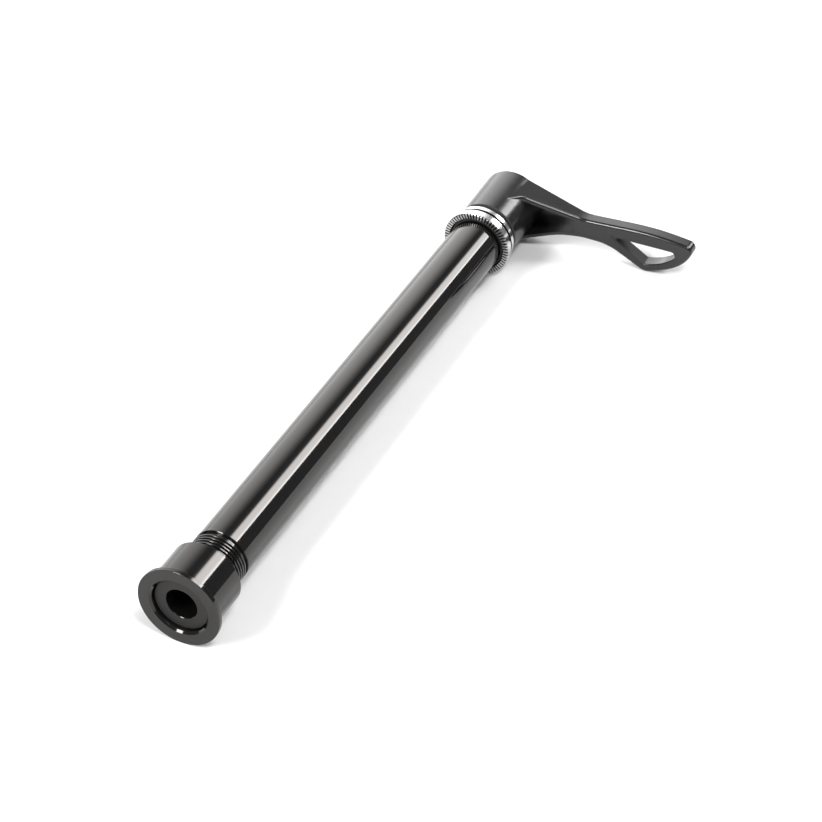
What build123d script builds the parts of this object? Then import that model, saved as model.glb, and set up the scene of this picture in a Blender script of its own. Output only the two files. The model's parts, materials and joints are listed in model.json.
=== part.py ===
from build123d import *
import math
import os

# Bicycle thru axle with a flanged end nut and a pull-and-turn lever. All sizes are in millimetres.
# X runs along the axle from the nut to the lever, the lever points towards -Y, and Z is up.
# The origin is on the axle's axis, midway between the nut's seat and the tips of the ring's teeth.

# Axle tube
shaft_diameter = 15.0
tube_bore_diameter = 8.5
grip_length = 165.2  # from the nut's seat to the tips of the ring's teeth
thread_length = 18.4
thread_end_chamfer = 0.25
relief_width = 0.9  # groove where the thread runs out
relief_depth = 0.6
shaft_edge_chamfer = 0.15
bore_edge_chamfer = 0.25

# Flange nut
flange_diameter = 22.3
flange_thickness = 1.2
barrel_diameter = 19.0
nut_length = 13.85
axle_end_depth = 1.4  # the axle's end lies this far inside the nut's front face
counterbore_diameter = 16.2
counterbore_depth = 2.4
flange_edge_chamfer = 0.08
barrel_edge_chamfer = 0.5

# Serrated ring and what holds it
ring_diameter = 19.6
ring_width = 2.5
tooth_count = 64
tooth_depth = 0.7
tooth_land_share = 0.35  # the flat tip of a tooth, as a share of the pitch
tooth_bevel = 0.3  # on the outer ends of the teeth
tooth_ring_inner_diameter = 16.6
ring_recess_depth = 1.4
ring_edge_chamfer = 0.2
notch_width = 1.3
notch_length = 0.9
notch_angle = 20.0  # round the axle, up from the lever's side
keeper_section = 0.9
keeper_seat_depth = 0.4
washer_diameter = 18.2
washer_thickness = 0.9

# Drive hub
hub_flange_diameter = 18.8
hub_flange_thickness = 1.8
hub_edge_chamfer = 0.2
spigot_length = 16.0
spline_teeth = 24
spline_tip_diameter = 13.2
spline_root_diameter = 11.8
spline_length = 4.0
spline_root_share = 0.5  # a tooth's width at its root, as a share of the pitch
spline_tip_share = 0.29
nose_diameter = 11.2
nose_length = 1.0
seal_section = 1.1
seal_land_diameter = 15.0
land_entry = 0.2  # the seal's land reaches this far into the lever's mouth

# Lever boss
boss_front_diameter = 17.5
boss_end_diameter = 18.2
boss_length = 19.4
boss_front_chamfer = 0.4
boss_end_radius = 0.8
mouth_depth = 0.4
mouth_diameter = 15.4
web_thickness = 1.8
chamber_diameter = 11.6

# Lever arm and paddle, measured from the axle's axis along the arm and across it
lever_rest_angle = 2.9  # the arm dips this much below level as the axle lies
lever_reach = 56.3
paddle_thickness = 4.2
waist_reach = 22.8
waist_height = 3.15  # of the upper edge above the arm's middle
waist_slope = 0.08  # of the upper edge as it leaves the waist
crest_setback = 11.9  # the paddle's upper edge is highest this far in from the tip
crest_height = 5.35
tip_height = 4.8
tip_slope = -0.1  # of the upper edge at the tip
tip_lean = 0.15  # of the outer edge at the tip, inwards as it goes down
bulge_setback = 4.4  # a point on the paddle's curved outer edge, in from the tip
bulge_drop = 3.05
heel_setback = 13.7  # the paddle's lower corner, in from the tip
heel_drop = 7.85
heel_slope = 0.36  # of the outer edge as it reaches the heel
arch_share = 0.73  # the lower edge levels off at this share of the way to the waist
arch_drop = 3.5
knee_share = 0.42  # the lower edge turns down at this share of the way from the waist to the heel
knee_drop = 2.75
waist_radius = 10.0
arch_radius = 20.0
knee_radius = 16.0
heel_radius = 3.7
tip_radius = 2.0
edge_radius = 0.8
root_depth = 12.4  # the arm's root, measured along the axle from the lever's outer face
root_end_reach = 3.4  # where the root runs out on the boss
root_reach = 6.0
gusset_depth = 8.6
root_radius = 3.4
gusset_radius = 14.0

# Pocket in the arm's root
pocket_reach = 20.9
pocket_rim = 1.25
pocket_floor = 1.8
pocket_corner_radius = 0.7

# Window in the paddle
window_start = 32.05
window_start_height = 0.45
window_top_rim = 3.6  # below the paddle's highest point
window_tip_rim = 3.9
window_bulge_rim = 3.5
window_bulge_lift = 0.5
window_heel_inset = 0.5
window_heel_rim = 2.65
window_corner_radius = 0.6
window_tip_radius = 1.2
window_edge_radius = 0.35

# Spring, its seat and the retaining screw
screw_diameter = 6.0
screw_length = 20.5
screw_head_diameter = 10.4
screw_head_height = 3.2
screw_head_recess = 0.7
screw_socket_across_flats = 4.0
screw_socket_depth = 1.9
screw_edge_chamfer = 0.35
seat_diameter = 10.8
seat_thickness = 0.8
spring_diameter = 10.0
spring_wire = 0.8
spring_turns = 3.0

# Clearances, on the radius unless said
thread_clearance = 0.05
ring_clearance = 0.05
bond_clearance = 0.02
guide_clearance = 0.1
spline_clearance = 0.1
seat_clearance = 0.12
face_clearance = 0.05  # along the axle, between a soft ring and its neighbours

# Places along the axle
seat_x = -grip_length / 2
nut_front_x = seat_x - flange_thickness
nut_rear_x = nut_front_x + nut_length
axle_end_x = nut_front_x + axle_end_depth
thread_end_x = axle_end_x + thread_length
tooth_tip_x = grip_length / 2
ring_floor_x = tooth_tip_x + ring_recess_depth
ring_rear_x = tooth_tip_x + ring_width
hub_front_x = ring_rear_x + washer_thickness
hub_rear_x = hub_front_x + hub_flange_thickness
boss_front_x = hub_rear_x + seal_section + 2 * face_clearance
spline_start_x = boss_front_x + land_entry
spline_end_x = spline_start_x + spline_length
web_front_x = spline_end_x + nose_length
web_rear_x = web_front_x + web_thickness
boss_end_x = boss_front_x + boss_length
head_top_x = boss_end_x - screw_head_recess
head_under_x = head_top_x - screw_head_height
screw_tip_x = head_under_x - screw_length
spring_start_x = web_rear_x + seat_thickness

# Radii
shaft_radius = shaft_diameter / 2
keeper_groove_radius = shaft_radius - keeper_seat_depth
tube_bore_radius = tube_bore_diameter / 2
nut_bore_radius = shaft_radius + thread_clearance
screw_radius = screw_diameter / 2
boss_end_edge = boss_end_diameter / 2
boss_taper = (boss_end_diameter - boss_front_diameter) / 2 / boss_length
arm_root_edge = boss_end_edge - boss_taper * root_depth

# The lever draws its outlines on its outer face: X along the arm, Y across it, normal towards the nut.
lever_face = Plane(origin=(boss_end_x, 0, 0), x_dir=(0, -1, 0), z_dir=(-1, 0, 0))
# The arm seen from above: X along the arm, Y from the outer face towards the nut.
lever_plan = Plane(origin=(boss_end_x, 0, 0), x_dir=(0, -1, 0), z_dir=(0, 0, -1))


def turned(*points):
    """A solid of revolution about the axle's axis, from (place along the axle, radius) points."""
    profile = make_face(Polyline(*points, close=True))
    return revolve(profile, Axis.X, 360)


def bored(radius, start_x, end_x):
    """A round cutter on the axle's axis."""
    return turned((start_x, 0), (end_x, 0), (end_x, radius), (start_x, radius))


def flat_washer(start_x, end_x, inner, outer):
    """A washer between two places along the axle, from its inner to its outer radius."""
    return turned((start_x, inner), (start_x, outer), (end_x, outer), (end_x, inner))


def soft_ring(section, middle_radius, middle_x):
    """A ring of round section, such as a rubber seal."""
    return revolve(Pos(middle_x, middle_radius) * Circle(section / 2), Axis.X, 360)


def splined(start_x, end_x, grow):
    """The hub's toothed bar, made larger all round by grow to cut the lever's own teeth."""
    tip = spline_tip_diameter / 2 + grow
    root = spline_root_diameter / 2 + grow
    pitch = 2 * math.pi / spline_teeth
    half_root = spline_root_share * pitch / 2 + grow / root
    half_tip = spline_tip_share * pitch / 2 + grow / tip
    flanks = ((root, -half_root), (tip, -half_tip), (tip, half_tip), (root, half_root))
    points = []
    for tooth in range(spline_teeth):
        for radius, turn in flanks:
            angle = tooth * pitch + turn
            points.append((radius * math.cos(angle), radius * math.sin(angle)))
    section = Plane.YZ.offset(start_x) * make_face(Polyline(*points, close=True))
    return extrude(section, end_x - start_x)


def boss_tangent(reach, height):
    """The point where a straight edge through (reach, height) leaves the boss, at the root's depth."""
    distance = math.hypot(reach, height)
    turn = math.atan2(height, reach) + math.acos(arm_root_edge / distance)
    return (arm_root_edge * math.cos(turn), arm_root_edge * math.sin(turn))


def corner(sketch, point):
    """The sketch's vertex nearest to a point."""
    return sketch.vertices().sort_by_distance(Vector(*point))[0]


def axle_tube():
    """Hollow shaft: thread, relief groove, and the plain shaft with the keeper's groove near its end."""
    relief_radius = shaft_radius - relief_depth
    relief_end_x = thread_end_x + relief_width
    groove_x = ring_floor_x - keeper_section - 2 * face_clearance
    return turned(
        (axle_end_x, tube_bore_radius + bore_edge_chamfer),
        (axle_end_x, shaft_radius - thread_end_chamfer),
        (axle_end_x + thread_end_chamfer, shaft_radius),
        (thread_end_x, shaft_radius),
        (thread_end_x, relief_radius),
        (relief_end_x, relief_radius),
        (relief_end_x, shaft_radius - shaft_edge_chamfer),
        (relief_end_x + shaft_edge_chamfer, shaft_radius),
        (groove_x, shaft_radius),
        (groove_x, keeper_groove_radius),
        (ring_floor_x, keeper_groove_radius),
        (ring_floor_x, shaft_radius),
        (hub_front_x, shaft_radius),
        (hub_front_x, tube_bore_radius),
        (axle_end_x + bore_edge_chamfer, tube_bore_radius),
    )


def flange_nut():
    """Round nut: thin flange, long barrel, and a wider mouth in front where the axle's end shows."""
    flange_radius = flange_diameter / 2
    barrel_radius = barrel_diameter / 2
    mouth_radius = counterbore_diameter / 2
    return turned(
        (nut_front_x, mouth_radius),
        (nut_front_x, flange_radius - flange_edge_chamfer),
        (nut_front_x + flange_edge_chamfer, flange_radius),
        (seat_x - flange_edge_chamfer, flange_radius),
        (seat_x, flange_radius - flange_edge_chamfer),
        (seat_x, barrel_radius),
        (nut_rear_x - barrel_edge_chamfer, barrel_radius),
        (nut_rear_x, barrel_radius - barrel_edge_chamfer),
        (nut_rear_x, nut_bore_radius + barrel_edge_chamfer),
        (nut_rear_x - barrel_edge_chamfer, nut_bore_radius),
        (nut_front_x + counterbore_depth, nut_bore_radius),
        (nut_front_x + counterbore_depth, mouth_radius),
    )


def serrated_ring():
    """Steel ring: radial teeth on its front face, a recess inside them, a notch in its rear edge."""
    outer = ring_diameter / 2
    inner = tooth_ring_inner_diameter / 2
    bore = shaft_radius + ring_clearance
    ring = turned(
        (ring_floor_x, bore),
        (ring_floor_x, inner),
        (tooth_tip_x, inner),
        (tooth_tip_x, outer - tooth_bevel),
        (tooth_tip_x + tooth_bevel, outer),
        (ring_rear_x - ring_edge_chamfer, outer),
        (ring_rear_x, outer - ring_edge_chamfer),
        (ring_rear_x, bore),
    )
    # One V groove between two teeth: its flanks meet at the groove's root and run on past the tips,
    # twice as deep and twice as wide as the groove itself.
    groove_width = 2 * math.pi * inner / tooth_count * (1 - tooth_land_share)
    groove_section = make_face(
        Polyline(
            (tooth_tip_x + tooth_depth, 0),
            (tooth_tip_x - tooth_depth, groove_width),
            (tooth_tip_x - tooth_depth, -groove_width),
            close=True,
        )
    )
    groove = extrude(Pos(Z=inner / 2) * groove_section, outer)
    ring -= [Rot(X=360 / tooth_count * step) * groove for step in range(tooth_count)]
    notch_depth = outer - inner
    notch_middle = Pos(ring_rear_x - notch_length / 2, -outer, 0)
    notch = notch_middle * Box(notch_length, 2 * notch_depth, notch_width)
    return ring - Rot(X=-notch_angle) * notch


def friction_washer():
    """Thin washer between the toothed ring, which stands still, and the hub's flange, which turns."""
    outer = washer_diameter / 2
    inner = shaft_radius + ring_clearance
    return flat_washer(ring_rear_x, hub_front_x, inner, outer)


def drive_hub():
    """Steel hub: spigot in the tube, flange, seal's land, toothed bar, nose, and the screw's hole."""
    spigot_radius = tube_bore_radius - bond_clearance
    flange_radius = hub_flange_diameter / 2
    land_radius = seal_land_diameter / 2
    body = turned(
        (hub_front_x - spigot_length, 0),
        (hub_front_x - spigot_length, spigot_radius - bore_edge_chamfer),
        (hub_front_x - spigot_length + bore_edge_chamfer, spigot_radius),
        (hub_front_x, spigot_radius),
        (hub_front_x, flange_radius - hub_edge_chamfer),
        (hub_front_x + hub_edge_chamfer, flange_radius),
        (hub_rear_x - hub_edge_chamfer, flange_radius),
        (hub_rear_x, flange_radius - hub_edge_chamfer),
        (hub_rear_x, land_radius),
        (spline_start_x, land_radius),
        (spline_start_x, nose_diameter / 2),
        (web_front_x, nose_diameter / 2),
        (web_front_x, 0),
    )
    body += splined(spline_start_x, spline_end_x, 0)
    return body - bored(screw_radius + bond_clearance, screw_tip_x - nose_length, web_front_x)


def arm_outline():
    """The arm and paddle from in front: tangent to the boss, a waist, then the three-sided paddle."""
    waist = (waist_reach, waist_height)
    arch = (arch_share * waist_reach, -arch_drop)
    crest = (lever_reach - crest_setback, crest_height)
    tip = (lever_reach, tip_height)
    bulge = (lever_reach - bulge_setback, -bulge_drop)
    heel = (lever_reach - heel_setback, -heel_drop)
    knee = (waist_reach + knee_share * (heel[0] - waist_reach), -knee_drop)
    root_top = boss_tangent(*waist)
    below = boss_tangent(arch[0], arch_drop)
    root_bottom = (below[0], -below[1])
    upper = Spline(waist, crest, tip, tangents=[(1, waist_slope), (1, tip_slope)])
    outer = Spline(tip, bulge, heel, tangents=[(-tip_lean, -1), (-1, -heel_slope)])
    outline = make_face(
        [
            Line(root_top, waist),
            upper,
            outer,
            Polyline(heel, knee, arch, root_bottom, root_top),
        ]
    )
    for point, radius in (
        (waist, waist_radius),
        (tip, tip_radius),
        (heel, heel_radius),
        (knee, knee_radius),
        (arch, arch_radius),
    ):
        outline = fillet(corner(outline, point), radius)
    return outline


def arm_plan():
    """The arm from above: a flat paddle, a gusset that thickens towards the boss, a hollow at the root."""
    beyond = lever_reach + paddle_thickness
    return make_face(
        FilletPolyline(
            (0, 0),
            (beyond, 0),
            (beyond, paddle_thickness),
            (waist_reach, paddle_thickness),
            (root_reach, gusset_depth),
            (root_end_reach, root_depth),
            (0, root_depth),
            radius=[0, 0, 0, gusset_radius, root_radius, 0, 0],
            close=True,
        )
    )


def window_outline():
    """Three-cornered window that follows the paddle's upper, outer and lower edges."""
    start = (window_start, window_start_height)
    tip = (lever_reach - window_tip_rim, crest_height - window_top_rim)
    bulge = (lever_reach - bulge_setback - window_bulge_rim, window_bulge_lift - bulge_drop)
    heel = (lever_reach - heel_setback - window_heel_inset, window_heel_rim - heel_drop)
    outline = make_face([Line(start, tip), ThreePointArc(tip, bulge, heel), Line(heel, start)])
    for point, radius in (
        (start, window_corner_radius),
        (tip, window_tip_radius),
        (heel, window_corner_radius),
    ):
        outline = fillet(corner(outline, point), radius)
    return outline


def lever_arm():
    """The arm and paddle: what the front view and the view from above have in common, edges rounded."""
    from_front = extrude(lever_face * arm_outline(), root_depth)
    from_above = extrude(lever_plan * arm_plan(), boss_end_diameter, both=True)
    arm = from_front & from_above
    edges = arm.edges().filter_by_position(Axis.Y, -lever_reach, -root_end_reach - edge_radius)
    rims = edges.filter_by(Axis.X, reverse=True).filter_by(Axis.Z, reverse=True)
    arm = fillet(rims, edge_radius)
    opened = arm - extrude(lever_face * window_outline(), paddle_thickness)
    lips = new_edges(arm, combined=opened).filter_by(Axis.X, reverse=True)
    return fillet(lips, window_edge_radius)


def lever():
    """One casting: tapered boss, arm with a pocket at its root, and a paddle with a window."""
    front = boss_front_diameter / 2
    boss = turned(
        (boss_front_x, 0),
        (boss_front_x, front - boss_front_chamfer),
        (boss_front_x + boss_front_chamfer, front),
        (boss_end_x, boss_end_edge),
        (boss_end_x, 0),
    )
    boss = fillet(boss.edges().filter_by(GeomType.CIRCLE).group_by(Axis.X)[-1], boss_end_radius)
    pocket_end = RectangleRounded(pocket_reach, boss_end_diameter, pocket_corner_radius)
    pocket = offset(arm_outline(), -pocket_rim) & Pos(pocket_reach / 2) * pocket_end
    pocket_cut = extrude(lever_face.offset(pocket_floor) * pocket, root_depth)
    casting = boss + (lever_arm() - pocket_cut)
    casting = Rot(X=lever_rest_angle) * casting
    casting -= bored(mouth_diameter / 2, boss_front_x, boss_front_x + mouth_depth)
    casting -= splined(boss_front_x, web_front_x, spline_clearance)
    casting -= bored(screw_radius + guide_clearance, web_front_x, web_rear_x)
    return casting - bored(chamber_diameter / 2, web_rear_x, boss_end_x)


def spring_seat():
    """Flat washer on the boss's inner web."""
    outer = seat_diameter / 2
    inner = screw_radius + seat_clearance
    return flat_washer(web_rear_x, spring_start_x, inner, outer)


def index_spring():
    """Coil spring between its seat and the screw's head."""
    coil_radius = (spring_diameter - spring_wire) / 2
    height = head_under_x - spring_start_x - spring_wire - 2 * face_clearance
    start = (spring_start_x + spring_wire / 2 + face_clearance, 0, 0)
    coil = Helix(height / spring_turns, height, coil_radius, center=start, direction=(1, 0, 0))
    wire = Plane(origin=coil @ 0, z_dir=coil % 0) * Circle(spring_wire / 2)
    return sweep(wire, path=coil, is_frenet=True)


def retaining_screw():
    """Socket-head screw from the boss's outer end into the hub."""
    head = screw_head_diameter / 2
    body = turned(
        (screw_tip_x, 0),
        (screw_tip_x, screw_radius - screw_edge_chamfer),
        (screw_tip_x + screw_edge_chamfer, screw_radius),
        (head_under_x, screw_radius),
        (head_under_x, head),
        (head_top_x - screw_edge_chamfer, head),
        (head_top_x, head - screw_edge_chamfer),
        (head_top_x, 0),
    )
    socket = RegularPolygon(screw_socket_across_flats / 2, 6, major_radius=False)
    return body - extrude(Plane.YZ.offset(head_top_x - screw_socket_depth) * socket, screw_socket_depth)


keeper_middle_x = ring_floor_x - keeper_section / 2 - face_clearance
keeper_middle_radius = keeper_groove_radius + keeper_section / 2 + bond_clearance
seal_middle_x = (hub_rear_x + boss_front_x) / 2
seal_middle_radius = (seal_land_diameter + seal_section) / 2 + bond_clearance

pieces = {
    "axle_tube": axle_tube(),
    "flange_nut": flange_nut(),
    "serrated_ring": serrated_ring(),
    "ring_keeper": soft_ring(keeper_section, keeper_middle_radius, keeper_middle_x),
    "friction_washer": friction_washer(),
    "drive_hub": drive_hub(),
    "lever_seal": soft_ring(seal_section, seal_middle_radius, seal_middle_x),
    "lever": lever(),
    "spring_seat": spring_seat(),
    "index_spring": index_spring(),
    "retaining_screw": retaining_screw(),
}

os.makedirs("parts", exist_ok=True)
for name, solid in pieces.items():
    export_step(solid, f"parts/{name}.step")
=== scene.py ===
# %% [markdown]
# # Dressing a bicycle thru axle
# A thru axle holds a bicycle's wheel in its fork. It is a hollow shaft with a fine screw thread,
# a nut with a thin flange, a toothed ring that bites into the fork, and a cast lever. The solids
# come from a CAD program and stay as they are. This lesson adds what they leave out: the cut
# thread, a coil spring made again as a surface, the finishes, a floor, lights and a camera.
# Blender works in metres, so all lengths below are in metres.

import json
import math

import bpy
import numpy as np
from mathutils import Matrix, Vector


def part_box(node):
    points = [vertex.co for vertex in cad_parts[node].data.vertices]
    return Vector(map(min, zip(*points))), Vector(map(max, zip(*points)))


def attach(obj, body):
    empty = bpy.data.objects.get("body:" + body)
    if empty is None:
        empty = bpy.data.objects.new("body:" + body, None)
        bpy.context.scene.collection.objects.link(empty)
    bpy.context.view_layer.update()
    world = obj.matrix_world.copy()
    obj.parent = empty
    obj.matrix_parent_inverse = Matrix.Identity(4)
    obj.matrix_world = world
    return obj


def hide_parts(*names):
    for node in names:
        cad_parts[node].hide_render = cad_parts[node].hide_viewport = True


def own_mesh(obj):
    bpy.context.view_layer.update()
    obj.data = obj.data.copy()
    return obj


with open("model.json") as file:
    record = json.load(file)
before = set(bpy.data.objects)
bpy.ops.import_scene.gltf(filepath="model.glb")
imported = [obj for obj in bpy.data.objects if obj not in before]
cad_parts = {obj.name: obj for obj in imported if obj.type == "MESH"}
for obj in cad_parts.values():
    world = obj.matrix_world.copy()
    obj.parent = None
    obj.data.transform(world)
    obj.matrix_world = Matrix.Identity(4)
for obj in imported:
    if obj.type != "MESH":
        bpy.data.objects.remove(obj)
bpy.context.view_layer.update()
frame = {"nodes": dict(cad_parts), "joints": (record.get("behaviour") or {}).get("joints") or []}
nodes = frame["nodes"]
print("solids:", ", ".join(sorted(nodes)))

# %% [markdown]
# ## The floor
# The axle lies on a table. It rests on the nut's flange at one end and on the toothed ring at
# the other, and the flange is a little larger, so the axle isn't quite level. Blender must not
# move a CAD solid, so the floor takes the slope instead: a plane through the flange's lowest
# point and the ring's.

# %% Lay the floor under the flange and the ring
flange_low, flange_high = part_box("flange_nut")
ring_low, ring_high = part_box("serrated_ring")
slope = (ring_low.z - flange_low.z) / (ring_low.x - flange_low.x)
level = Vector((-slope, 0, 1)).normalized()
floor_gap = 0.00003
floor_half = 4


def floor_height(x):
    """The floor's height: the flange's lowest point, plus slope times the distance along X."""
    return flange_low.z - floor_gap + slope * (x - flange_low.x)


def grid_mesh(name, points, wrap_rows=False, wrap_columns=False, capped=False):
    """A mesh on a grid of points, rows by columns by 3.

    A wrapped side joins its last line to its first. Caps close the first and the last row.
    """
    rows, columns = points.shape[:2]
    index = np.arange(rows * columns).reshape(rows, columns)
    corners = np.stack([
        index,
        np.roll(index, -1, axis=1),
        np.roll(np.roll(index, -1, axis=1), -1, axis=0),
        np.roll(index, -1, axis=0),
    ], axis=-1)
    last_row = rows if wrap_rows else rows - 1
    last_column = columns if wrap_columns else columns - 1
    faces = corners[:last_row, :last_column].reshape(-1, 4).tolist()
    if capped:
        faces += [index[0, ::-1].tolist(), index[-1].tolist()]
    mesh = bpy.data.meshes.new(name)
    mesh.from_pydata(points.reshape(-1, 3).tolist(), [], faces)
    mesh.shade_smooth()
    made = bpy.data.objects.new(name, mesh)
    bpy.context.scene.collection.objects.link(made)
    return made


across = np.linspace(-floor_half, floor_half, 9)
floor_x, floor_y = np.meshgrid(across, across)
floor_points = np.stack([floor_x, floor_y, floor_height(floor_x)], axis=-1)
floor = grid_mesh("floor", floor_points)
print(f"floor slope {math.degrees(math.atan(slope)):.2f} degrees")

# %% [markdown]
# ## The camera
# A product picture is taken from some way off with a long lens, so that the far end doesn't
# shrink much. The camera needs a place, a line of sight and an upward direction. From these
# three come its own axes: right is square to sight and up, and Blender's camera looks along its
# own minus Z.

# %% Place the camera
eye = Vector((-0.48406, -0.25508, 0.43660))
sight = Vector((0.70287, 0.34105, -0.62423)).normalized()


def axes_matrix(right, up, back, place):
    """A 4 by 4 matrix whose columns are three axes and a place."""
    columns = (right.to_4d(), up.to_4d(), back.to_4d(), place.to_4d())
    matrix = Matrix(columns).transposed()
    matrix[3] = (0, 0, 0, 1)
    return matrix


right = sight.cross(level).normalized()
camera = bpy.data.objects.new("camera", bpy.data.cameras.new("camera"))
camera.data.lens = 118.8
camera.data.sensor_width = 36
camera.data.clip_end = 20
camera.matrix_world = axes_matrix(right, right.cross(sight), -sight, eye)
bpy.context.scene.collection.objects.link(camera)
bpy.context.scene.camera = camera
print("camera", tuple(round(v, 3) for v in eye))

# %% [markdown]
# ## The thread
# The shaft has a fine metric thread, one millimetre to the turn. A helix could be swept, but a
# thread is simpler as a rule about height: go along the axle and take off one pitch for every
# turn round it, and the height repeats once a pitch. So the threaded shaft is one surface of two
# parameters, the place on its section and the turn round the axle, and the same rule cuts the
# nut, a little wider.

# %% The thread as a function
pitch = 0.001
crest_radius = 0.0075
thread_depth = 0.00058
crest_half = 0.2     # half the flat crest, as a share of the pitch
flank_share = 0.2    # one sloping flank, as a share of the pitch
crest_phase = 0.05   # where the crest lies at turn 0


def thread_radius(x, turn):
    """The thread's radius: flat crest, sloping flank, flat root by the distance from the crest."""
    share = (x / pitch - turn - crest_phase) % 1
    away = np.minimum(share, 1 - share)
    return crest_radius - thread_depth * np.clip((away - crest_half) / flank_share, 0, 1)


print(f"thread: pitch {pitch} m, root radius {crest_radius - thread_depth:.5f} m")

# %% [markdown]
# A turned part is a closed section carried round its axis. Sharp corners look computer-made, and
# smooth shading smears light across them, so each corner of the section becomes four points
# close together: a small bevel, with one more point on each side that keeps the flat faces flat.

# %% Turn a section round the axle
columns = 144
turns = np.arange(columns) / columns
corner_ease = 0.00001


def eased(corners):
    """Each corner becomes four points: one and three steps of ease towards its two neighbours."""
    back = np.roll(corners, 1, axis=0) - corners
    ahead = np.roll(corners, -1, axis=0) - corners
    back /= np.linalg.norm(back, axis=1, keepdims=True)
    ahead /= np.linalg.norm(ahead, axis=1, keepdims=True)
    steps = [corners + corner_ease * s for s in (3 * back, back, ahead, 3 * ahead)]
    return np.stack(steps, axis=1).reshape(-1, 2)


def turned(name, x, radius):
    """A closed section turned round X: y is radius times the turn's cosine, z times its sine."""
    angle = 2 * np.pi * turns[None, :]
    x = np.broadcast_to(x[:, None], radius.shape)
    points = np.stack([x, radius * np.cos(angle), radius * np.sin(angle)], axis=-1)
    made = grid_mesh(name, points, wrap_rows=True, wrap_columns=True)
    print(f"{name}: {len(made.data.polygons)} faces")
    return made


# %% [markdown]
# ### The threaded axle
# The section runs from the bore's mouth along the outside to the hub and back through the bore.
# Between two of its corners lie many rows for the thread, sixteen to a pitch. The thread's
# height is used where it is lower than the section, and it deepens over the first turn, so the
# end face stays round.

# %% Make the axle
tube_low, tube_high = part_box("axle_tube")
bore_radius = 0.00425
bore_chamfer = 0.00012
end_chamfer = 0.00025
thread_end = tube_low.x + 0.0184
relief_end = thread_end + 0.0009
relief_depth = 0.0006
relief_chamfer = 0.00015
groove_start, groove_end = 0.083, 0.084
groove_radius = 0.0071
axle_corners = np.array([
    (tube_low.x, bore_radius + bore_chamfer),
    (tube_low.x, crest_radius - end_chamfer),
    (tube_low.x + end_chamfer, crest_radius),
    (thread_end, crest_radius),
    (thread_end, crest_radius - relief_depth),
    (relief_end, crest_radius - relief_depth),
    (relief_end, crest_radius - relief_chamfer),
    (relief_end + relief_chamfer, crest_radius),
    (groove_start, crest_radius),
    (groove_start, groove_radius),
    (groove_end, groove_radius),
    (groove_end, crest_radius),
    (tube_high.x, crest_radius),
    (tube_high.x, bore_radius),
    (tube_low.x + bore_chamfer, bore_radius),
])
thread_corner = 2    # the thread's rows follow this corner
rows_per_pitch = 16
row_margin = 0.0001  # from the thread's rows to the corners beside them


def with_thread_rows(corners, first, from_x, to_x):
    """The eased section, with rows for the thread put in after its corner number first."""
    count = int(abs(to_x - from_x) / pitch * rows_per_pitch)
    x = np.linspace(from_x, to_x, count + 2)[1:-1]
    rows = np.stack([x, np.full(count, corners[first, 1])], axis=1)
    return np.insert(eased(corners), 4 * (first + 1), rows, axis=0)


thread_start = tube_low.x + end_chamfer
section = with_thread_rows(
    axle_corners, thread_corner, thread_start + row_margin, thread_end - row_margin
)
x, radius = section[:, :1], section[:, 1:]
lead_in = np.clip((x - tube_low.x) / pitch, 0, 1)
cut = radius - lead_in * np.maximum(radius - thread_radius(x, turns[None, :]), 0)
threaded = (x < thread_end + corner_ease / 2) & (radius > crest_radius - 2 * end_chamfer)
axle = turned("threaded_axle", section[:, 0], np.where(threaded, cut, radius))
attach(axle, "axle")
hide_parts("axle_tube")

# %% [markdown]
# ### The threaded nut
# The nut's thread is the axle's own surface moved out by the running clearance, so the two
# always match. At both ends of the bore a cone opens it, which is how a tap's entry is
# countersunk. The wide mouth in the flange has a sloping edge too, and that edge catches a small
# bright spot.

# %% Make the nut
mouth_radius = 0.0081
mouth_floor_radius = 0.0076
mouth_slope = mouth_radius - mouth_floor_radius
barrel_radius = 0.0095
flange_radius = 0.01115
flange_chamfer = 0.00006
nut_chamfer = 0.0005
nut_bore = 0.00755
seat_x = flange_low.x + 0.0012
bore_start = flange_low.x + 0.0024
bore_end = flange_high.x - nut_chamfer
nut_corners = np.array([
    (flange_low.x, mouth_radius),
    (flange_low.x, flange_radius - flange_chamfer),
    (flange_low.x + flange_chamfer, flange_radius),
    (seat_x - flange_chamfer, flange_radius),
    (seat_x, flange_radius - flange_chamfer),
    (seat_x, barrel_radius),
    (bore_end, barrel_radius),
    (flange_high.x, barrel_radius - nut_chamfer),
    (flange_high.x, nut_bore + nut_chamfer),
    (bore_end, nut_bore),
    (bore_start, nut_bore),
    (bore_start, mouth_floor_radius),
    (flange_low.x + mouth_slope, mouth_floor_radius),
])
bore_corner = 9      # the thread's rows follow this corner
running_clearance = 0.00006
section = with_thread_rows(
    nut_corners, bore_corner, bore_end - row_margin, bore_start + row_margin
)
x, radius = section[:, :1], section[:, 1:]
entry = nut_bore - np.minimum(x - bore_start, bore_end - x)
tapped = np.maximum(thread_radius(x, turns[None, :]) + running_clearance, entry)
in_bore = (x > bore_start) & (x < bore_end) & (radius < nut_bore + corner_ease)
nut = turned("threaded_nut", section[:, 0], np.where(in_bore, np.minimum(tapped, radius), radius))
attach(nut, "nut")
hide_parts("flange_nut")

# %% [markdown]
# ## The spring
# A coil spring inside the lever's boss holds the lever on the hub's teeth. Pulling the lever out
# squeezes it against the head of the screw, and a solid can't do that. So the spring is made
# again as a surface, a round wire carried along a helix, and the share of its length that it
# keeps when the lever is fully out is worked out from the lever's joint.

# %% Make the spring
spring_low, spring_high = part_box("index_spring")
wire_radius = 0.0004
coil_radius = 0.0046
spring_turns = 3


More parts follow.
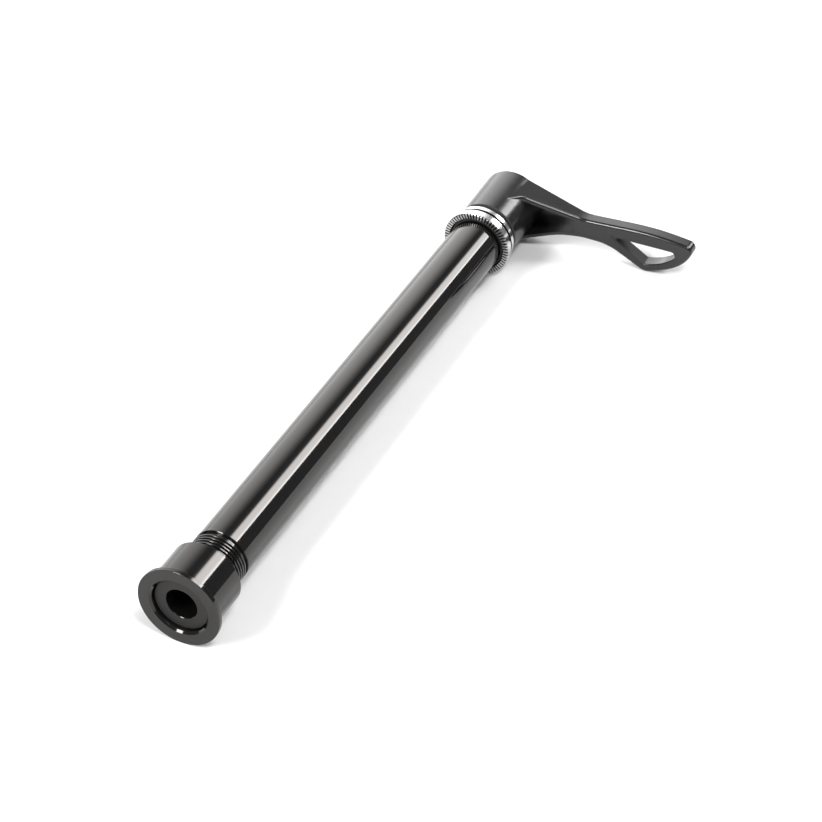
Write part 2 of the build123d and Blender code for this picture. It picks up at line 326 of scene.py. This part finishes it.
def coil_points(start_x, rise, rows, columns):
    """A helix round the axle, and round each of its points a circle square to its direction.

    The circle is the outward direction times a cosine plus the direction square to it times a sine.
    """
    turn = np.linspace(0, 2 * np.pi * spring_turns, rows)[:, None]
    outward = np.stack([0 * turn, -np.sin(turn), np.cos(turn)], axis=-1)
    middle = coil_radius * outward
    middle[..., 0] += start_x + rise * turn / turn[-1]
    climb = np.full_like(turn, rise / turn[-1, 0])
    ahead = np.stack([climb, -coil_radius * np.cos(turn), -coil_radius * np.sin(turn)], axis=-1)
    ahead /= np.linalg.norm(ahead, axis=-1, keepdims=True)
    around = (2 * np.pi * np.arange(columns) / columns)[None, :, None]
    sideways = np.cross(ahead, outward)
    return middle + wire_radius * (np.cos(around) * outward + np.sin(around) * sideways)


coil_rise = spring_high.x - spring_low.x - 2 * wire_radius
points = coil_points(spring_low.x + wire_radius, coil_rise, rows=217, columns=16)
spring = grid_mesh("coil_spring", points, wrap_columns=True, capped=True)
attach(spring, "axle")
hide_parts("index_spring")
pull = next(joint for joint in frame["joints"] if joint["name"] == "lever_pull")
spring_keep = 1 - pull["range_m"][1] / (spring_high.x - spring_low.x)
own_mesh(spring)
print(f"spring: {len(spring.data.polygons)} faces, squeezed to {spring_keep:.2f} of its length")

# %% [markdown]
# ## Finishes
# Every finish is a small network of shader nodes. Writing each link by hand hides the idea, so
# one class wraps a socket: adding or multiplying two of them adds the Math node, and one method
# adds any other node. Patterns read Object coordinates, which are metres on the part itself and
# move with it.

# %% A socket that can be used in expressions


class Wire:
    """One output socket of a material's nodes. Arithmetic on it adds Math nodes."""

    def __init__(self, socket):
        self.socket = socket
        self.tree = socket.id_data

    def node(self, kind, settings, sockets, out=0):
        """Any node: its type, its settings, then its sockets' values or links, and which output."""
        made = self.tree.nodes.new("ShaderNode" + kind)
        for key, value in settings.items():
            setattr(made, key, value)
        for key, value in sockets.items():
            if isinstance(value, Wire):
                self.tree.links.new(value.socket, made.inputs[key])
            else:
                made.inputs[key].default_value = value
        return Wire(made.outputs[out])

    def math(self, operation, *values):
        """A Math node on these values."""
        return self.node("Math", {"operation": operation}, dict(enumerate(values)))

    def __add__(self, other):
        return self.math("ADD", self, other)

    def __sub__(self, other):
        return self.math("SUBTRACT", self, other)

    def __rsub__(self, other):
        return self.math("SUBTRACT", other, self)

    def __mul__(self, other):
        return self.math("MULTIPLY", self, other)

    def __pow__(self, other):
        return self.math("POWER", self, other)

    def __rpow__(self, other):
        return self.math("POWER", other, self)

    def __abs__(self):
        return self.math("ABSOLUTE", self)

    __radd__ = __add__
    __rmul__ = __mul__

    def axis(self, out):
        """One of a vector's three parts."""
        return self.node("SeparateXYZ", {}, {0: self}, out)

    def noise(self, scale, detail=2.0):
        """Smooth noise from 0 to 1, with this many cells to the metre."""
        return self.node("TexNoise", {}, {"Vector": self, "Scale": scale, "Detail": detail})

    def rise(self, low, high):
        """0 below the first value and 1 past the second, straight in between."""
        span = {"Value": self, "From Min": low, "From Max": high}
        return self.node("MapRange", {"clamp": True}, span)

    def lines(self, scale, detail=3.0):
        """Noise along one value, which gives the fine lines that a cutting tool leaves."""
        settings = {"noise_dimensions": "1D"}
        return self.node("TexNoise", settings, {"W": self, "Scale": scale, "Detail": detail})

    def between(self, low, high):
        """A colour from low to high as this value goes from 0 to 1."""
        return self.node("Mix", {"data_type": "RGBA"}, {0: self, 6: low, 7: high}, 2)

    def bump(self, strength, distance):
        """A surface normal tilted by this value, taken as height."""
        return self.node("Bump", {}, {"Height": self, "Strength": strength, "Distance": distance})


# %% [markdown]
# Every finish starts from an empty material and ends in one Principled shader. Two helpers do
# those ends, so that only what is special to a finish is written out for it. Nearly all colours
# here are greys, and a third helper makes them.

# %% Start and close a finish


def grey(value, tint=0.0):
    """A grey as red, green, blue and alpha, a little bluer for a positive tint."""
    return (value * (1 - tint), value, value * (1 + tint), 1)


def new_finish(name):
    """An empty material, and the place on the part as a wire to start from."""
    material = bpy.data.materials.new(name)
    material.use_nodes = True
    material.node_tree.nodes.clear()
    place = material.node_tree.nodes.new("ShaderNodeTexCoord")
    return material, Wire(place.outputs["Object"])


def shade(material, place, **sockets):
    """Close a material with one Principled shader. Underscores in socket names stand for spaces."""
    named = {key.replace("_", " "): value for key, value in sockets.items()}
    shader = place.node("BsdfPrincipled", {}, named)
    output = place.tree.nodes.new("ShaderNodeOutputMaterial")
    place.tree.links.new(shader.socket, output.inputs["Surface"])
    print("finish:", material.name)
    return material


# %% [markdown]
# ### Gloss black
# The shaft and nut are turned aluminium, anodised black and polished. What is left of the
# turning is a set of very fine rings. They follow the distance along the axle plus the distance
# from it: on the barrel that sum changes along the axle, on a flat end face it changes outwards,
# so both get their rings. The axle's end face was only sawn and faced, so it is duller than the
# rest.

# %% Gloss black
material, place = new_finish("gloss_black_anodised")
from_axis = (place.axis(1) ** 2 + place.axis(2) ** 2) ** 0.5
rings = (place.axis(0) + from_axis).lines(5200)
clouds = place.noise(90)
end_fade = 0.0001
at_end = place.axis(0).rise(tube_low.x + 3 * corner_ease, tube_low.x + corner_ease)
end_face = at_end * from_axis.rise(crest_radius + end_fade, crest_radius)
warm_white = (1.0, 0.96, 0.93, 1)
gloss_black = shade(
    material,
    place,
    Base_Color=clouds.between(grey(0.003), grey(0.006, 0.03)),
    Roughness=0.045 + 0.03 * clouds + 0.03 * rings + 0.5 * end_face,
    Normal=rings.bump(0.05, 0.00001),
    Specular_Tint=warm_white,
)

# %% [markdown]
# ### Satin black paint
# The lever is a casting with a black powder paint. The paint levels out over the casting's skin
# and leaves a soft orange peel about a millimetre across, with a finer grain on top that spreads
# highlights. Two places stay dull. One is the boss's front edge, which grease from the seal
# reaches. The other is the window's lower wall, where the paint lands at a slant. The place
# along the axle finds the edge, and the distance from the straight line between two corners of
# the window finds the wall.

# %% Satin black
material, place = new_finish("satin_black_paint")
peel = place.noise(1300)
grain = place.noise(9000, 1.0)
grease_end = 0.09
grease_fade = 0.0002
greasy_edge = place.axis(0).rise(grease_end, grease_end - grease_fade)
reach, height = place.axis(1), place.axis(2)
wall_y, wall_z = -0.5334, 0.8456          # the direction square to the window's lower wall
wall_distance = 0.0161                    # from the axle's axis to the wall in that direction
wall_inner, wall_outer = -0.032, -0.0418  # the wall's two ends along Y
wall_overrun = 0.0006                     # the dullness fades over this length past the ends
lip = 0.0004                              # it reaches this far to each side of the wall
lip_fade = 0.0001
from_wall = wall_z * height + wall_y * reach - wall_distance
beside_wall = abs(from_wall).rise(lip + lip_fade, lip)
past_inner = reach.rise(wall_inner + wall_overrun, wall_inner)
before_outer = reach.rise(wall_outer - wall_overrun, wall_outer)
wall = beside_wall * past_inner * before_outer
satin_black = shade(
    material,
    place,
    Base_Color=place.noise(160).between(grey(0.008), grey(0.012)),
    Roughness=0.17 + 0.06 * grain + 0.6 * greasy_edge + 0.5 * wall,
    Normal=(0.7 * peel + 0.3 * grain).bump(0.12, 0.0001),
)

# %% [markdown]
# ### Bright steel
# The toothed ring and the hub are nickel-plated steel. Plate copies the turning rings under it,
# so the same sum of distances gives slightly stronger lines than on the polished shaft. The
# plate's colour is kept, and made smoother, on the rim and on the flat tips of the teeth, where
# it is a little duller. Everywhere else the colour is painted nearly black: painted shade in the
# grooves between the teeth, in the ring's inner recess and in the gaps between the ring, the hub
# and the seal. Masks tell them apart: the distance from the axis and the place along the axle
# find the rim, and the place along the axle finds the tips.

# %% Bright steel
mask_fade = 0.00006
rim_depths = (0.0001, 0.00003)  # below the rim, where the brightness starts and where it is full
tip_depths = (0.0002, 0.00008)  # the same, behind the teeth's tips


def nickel_plate(name, rim_radius, first_x, last_x, tip_x):
    """Plate colour on the rim from first_x to last_x, duller on the tips, and painted shade, nearly
    black, elsewhere.
    """
    material, place = new_finish(name)
    along = place.axis(0)
    from_axis = (place.axis(1) ** 2 + place.axis(2) ** 2) ** 0.5
    rings = (along + from_axis).lines(7000)
    past_front = along.rise(first_x, first_x + mask_fade)
    before_rear = along.rise(last_x, last_x - mask_fade)
    near_rim = from_axis.rise(rim_radius - rim_depths[0], rim_radius - rim_depths[1])
    rim = near_rim * past_front * before_rear
    tips = along.rise(tip_x + tip_depths[0], tip_x + tip_depths[1])
    plate = place.noise(400).between(grey(0.62), grey(0.76))
    # Off the rim, all but the tips is painted nearly black: painted shade in the grooves, the
    # recess and the gaps.
    painted_shade_or_tip_plate = tips.between(grey(0.004), grey(0.58))
    return shade(
        material,
        place,
        Base_Color=rim.between(painted_shade_or_tip_plate, plate),
        Metallic=1.0,
        Roughness=0.4 + 0.1 * rings - 0.28 * rim - 0.1 * tips,
        Normal=rings.bump(0.08, 0.00001),
    )


hub_low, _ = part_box("drive_hub")
hub_rim_radius = 0.0094
# The hub keeps its plate colour only between these two places; in front of and behind them its rim
# is painted dark, as painted shade of the gaps beside the ring and the seal.
hub_bright_start, hub_bright_end = 0.0863, 0.08755
ring_steel = nickel_plate(
    "ring_nickel_plate", ring_high.z, ring_low.x, ring_high.x, ring_low.x
)
hub_steel = nickel_plate(
    "hub_nickel_plate", hub_rim_radius, hub_bright_start, hub_bright_end, hub_low.x
)

# %% [markdown]
# ### Zinc plate, rubber and plastic
# The screw, spring and spring seat have dull zinc plate with a faint blue cast and small
# spangles. The two soft rings are matt rubber with a moulded grain, and the washer is a hard
# matt plastic.

# %% Zinc, rubber and plastic
material, place = new_finish("dull_zinc_plate")
spangle = place.noise(2500)
plain_steel = shade(
    material,
    place,
    Base_Color=spangle.between(grey(0.42, 0.02), grey(0.56, 0.03)),
    Metallic=1.0,
    Roughness=0.26 + 0.18 * spangle,
    Normal=spangle.bump(0.1, 0.00003),
)

material, place = new_finish("matt_black_rubber")
grain = place.noise(6000)
black_rubber = shade(
    material,
    place,
    Base_Color=place.noise(700).between(grey(0.008), grey(0.018)),
    Roughness=0.6 + 0.25 * grain,
    Normal=grain.bump(0.2, 0.00005),
)

material, place = new_finish("black_washer_plastic")
grain = place.noise(4000)
black_plastic = shade(
    material,
    place,
    Base_Color=place.noise(500).between(grey(0.01), grey(0.02)),
    Roughness=0.42 + 0.15 * grain,
    Normal=grain.bump(0.12, 0.00004),
)

# %% [markdown]
# ### The floor's finish
# A pale sheet of card. It is bright enough to come out white, and only the soft shadow beside
# the axle shows its grey.

# %% Floor finish
material, place = new_finish("pale_card")
fibres = place.noise(220)
pale_card = shade(
    material,
    place,
    Base_Color=fibres.between(grey(0.78), grey(0.8)),
    Roughness=0.85 + 0.1 * fibres,
    Specular_IOR_Level=0.2,
)

# %% [markdown]
# ## The lights
# A polished tube is a curved mirror, so what it shows is mostly the lights. Instead of guessing
# where a light goes, start from its mirror image: choose the angles round the tube between which
# a bright band should lie, reflect the line of sight there, and let a curved card follow the
# reflected rays. Angles start at the lever's side and go up, so 90 degrees is the top of the
# tube. A card's glow is stored on its mesh and fades between the angles, which a lamp with one
# strength can't do.

# %% Make the light cards
card_glow, place = new_finish("card_glow")
shade(
    card_glow,
    place,
    Base_Color=grey(0.0),
    Emission_Color=place.node("Attribute", {"attribute_name": "glow"}, {}, "Fac"),
    Emission_Strength=1.0,
)


def light_card(name, near_angles, far_angles, shares, radiances, near_level, distance, length):
    """A curved card: sight less twice its part along the tube's normal, times the distance.

    The angles of its two edges change evenly from its near end to its far end, and so does its
    strength. The glow goes by the share of the way from the first edge to the second.
    """
    across = np.linspace(0, 1, 49)[:, None]
    along = np.linspace(0, 1, 13)[None, :]
    first = near_angles[0] + (far_angles[0] - near_angles[0]) * along
    second = near_angles[1] + (far_angles[1] - near_angles[1]) * along
    turn = np.radians(first + (second - first) * across)
    normals = np.stack([0 * turn, -np.cos(turn), np.sin(turn)], axis=-1)
    rays = np.array(sight) - 2 * (normals @ np.array(sight))[..., None] * normals
    points = distance * rays
    points[..., 0] += length * (along - 0.5)
    card = grid_mesh(name, points)
    strength = near_level + (1 - near_level) * along
    glow = card.data.attributes.new("glow", "FLOAT", "POINT")
    glow.data.foreach_set("value", (np.interp(across, shares, radiances) * strength).ravel())
    card.data.materials.append(card_glow)
    print(f"{name}: {length} m long")


light_card(
    "soft_box",
    near_angles=(56.1, 77),
    far_angles=(47.3, 63),
    shares=(0, 0.1, 0.2, 0.62, 0.74, 0.82, 1),
    radiances=(17, 16, 11, 10.5, 7, 0.6, 0.2),
    near_level=1.25,
    distance=1.6,
    length=0.9,
)
light_card(
    "white_wall",
    near_angles=(88, 122),
    far_angles=(66, 122),
    shares=(0, 0.1, 0.3, 0.45, 1),
    radiances=(0.3, 1.2, 3.2, 4.0, 4.1),
    near_level=0.36,
    distance=1.7,
    length=1.2,
)

# %% [markdown]
# Two lamps are left. The key box stands to the left of the camera: it draws the bright line
# along the lever's rounded edge and the small white spot in the nut's mouth, and throws the
# shadow to the right. The rim box hangs overhead and lights the edge above the lever's pocket.

# %% Add the lamps


def box_lamp(name, direction, distance, width, depth, radiance):
    """A rectangular lamp that faces the origin. Its power is radiance times pi times its area."""
    light = bpy.data.lights.new(name, "AREA")
    light.shape = "RECTANGLE"
    light.size, light.size_y = width, depth
    light.energy = radiance * math.pi * width * depth
    lamp = bpy.data.objects.new(name, light)
    back = Vector(direction).normalized()
    up = back.cross(Vector((1, 0, 0))).normalized()
    lamp.matrix_world = axes_matrix(up.cross(back), up, back, distance * back)
    bpy.context.scene.collection.objects.link(lamp)
    print(f"{name}: {light.energy:.0f} W")


lamp_distance = 1.8
box_lamp("key_box", (-0.66, 0.37, 0.64), lamp_distance, width=0.9, depth=0.45, radiance=26)
box_lamp("rim_box", (-0.27, -0.4, 0.87), lamp_distance, width=0.5, depth=0.4, radiance=32)

world_grey = grey(0.22)
world = bpy.data.worlds.new("studio")
world.use_nodes = True
world.node_tree.nodes["Background"].inputs["Color"].default_value = world_grey
bpy.context.scene.world = world
bpy.context.scene.view_settings.view_transform = "Standard"
print(f"world grey: {world_grey[0]}")

# %% [markdown]
# ## Give every piece its finish
# A CAD solid arrives with one plain material in its first slot. Assigning to that slot changes
# the look and leaves the mesh alone. The new pieces and the floor have no slot yet, so theirs is
# appended.

# %% Assign the finishes
solid_finish = {
    "serrated_ring": ring_steel,
    "drive_hub": hub_steel,
    "lever": satin_black,
    "spring_seat": plain_steel,
    "index_spring": plain_steel,
    "retaining_screw": plain_steel,
    "ring_keeper": black_rubber,
    "lever_seal": black_rubber,
    "friction_washer": black_plastic,
    "axle_tube": gloss_black,
    "flange_nut": gloss_black,
}
for name, finish in solid_finish.items():
    nodes[name].material_slots[0].material = finish
made_finish = [
    (axle, gloss_black),
    (nut, gloss_black),
    (spring, plain_steel),
    (floor, pale_card),
]
for made, finish in made_finish:
    made.data.materials.append(finish)
print("finished:", len(solid_finish), "solids and", len(made_finish), "new surfaces")
